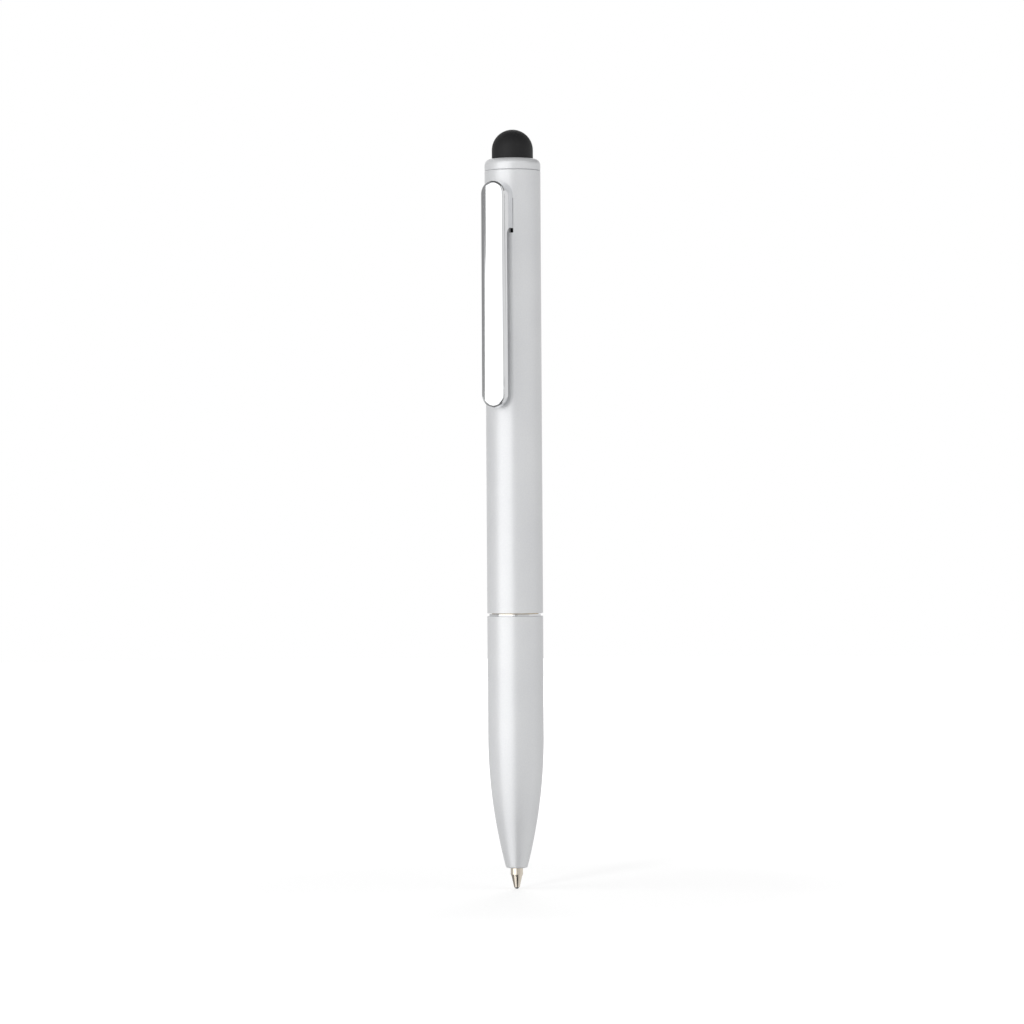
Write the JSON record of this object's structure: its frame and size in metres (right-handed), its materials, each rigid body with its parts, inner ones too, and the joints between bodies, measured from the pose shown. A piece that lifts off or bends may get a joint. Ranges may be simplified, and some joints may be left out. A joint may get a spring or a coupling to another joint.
{
  "type": "twist stylus pen",
  "caption": "Slim metal twist pen with a rubber stylus dome on its end, a bright pocket clip, and a refill that a half turn of the upper barrel draws in.",
  "frame": {"origin": "lowest point of the writing ball, on the pen's axis, with the tip out", "axes": "+Z along the pen's axis from the tip to the stylus dome; the clip is on the -Y side; +X completes the frame"},
  "size_m": [0.0104, 0.0135, 0.14],
  "materials": {
    "satin_aluminium": "fine satin, anodised silver",
    "polished_chrome": "bright plated and polished",
    "black_silicone": "soft matt",
    "nickel_silver": "turned and polished",
    "carbide": "ground and polished",
    "spring_steel": "drawn wire",
    "turned_brass": "turned",
    "natural_acetal": "moulded",
    "black_acetal": "moulded",
    "nitrile": "moulded",
    "clear_polypropylene": "extruded",
    "blue_ink": "wet",
    "pale_grease": "wet"
  },
  "bodies": {
    "lower_half": {"lower_barrel": "satin_aluminium", "centre_ring": "polished_chrome", "threaded_bushing": "turned_brass", "friction_ring": "nitrile", "snap_ring": "spring_steel", "guide_tube": "natural_acetal", "return_spring": "spring_steel"},
    "upper_half": {"upper_barrel": "satin_aluminium", "bearing_bush": "natural_acetal", "cam_sleeve": "natural_acetal", "end_plug": "black_acetal", "end_cap": "satin_aluminium", "stylus_tip": "black_silicone"},
    "clip": {"clip": "polished_chrome"},
    "refill": {"plunger": "natural_acetal", "cross_pin": "spring_steel", "refill_tube": "clear_polypropylene", "ink_column": "blue_ink", "grease_plug": "pale_grease", "refill_tip": "nickel_silver"},
    "ball": {"writing_ball": "carbide"}
  },
  "joints": [
    {"name": "twist", "type": "hinge", "parent": "lower_half", "child": "upper_half", "pos_m": [0, 0, 0.0508], "axis": [0, 0, 1], "range_deg": [0, 180]},
    {"name": "refill_travel", "type": "slide", "parent": "lower_half", "child": "refill", "axis": [0, 0, 1], "range_m": [0, 0.005], "deforming": ["return_spring"]},
    {"name": "clip_flex", "type": "hinge", "parent": "upper_half", "child": "clip", "pos_m": [0, -0.00515, 0.1301], "axis": [-1, 0, 0], "range_deg": [0, 3], "stiffness_Nm_per_rad": 1},
    {"name": "ball_roll", "type": "hinge", "parent": "refill", "child": "ball", "pos_m": [0, 0, 0.0005], "axis": [1, 0, 0], "continuous": true}
  ],
  "couplings": [
    {"joint": "refill_travel", "follows": "twist", "m_per_rad": 0.0015915}
  ]
}
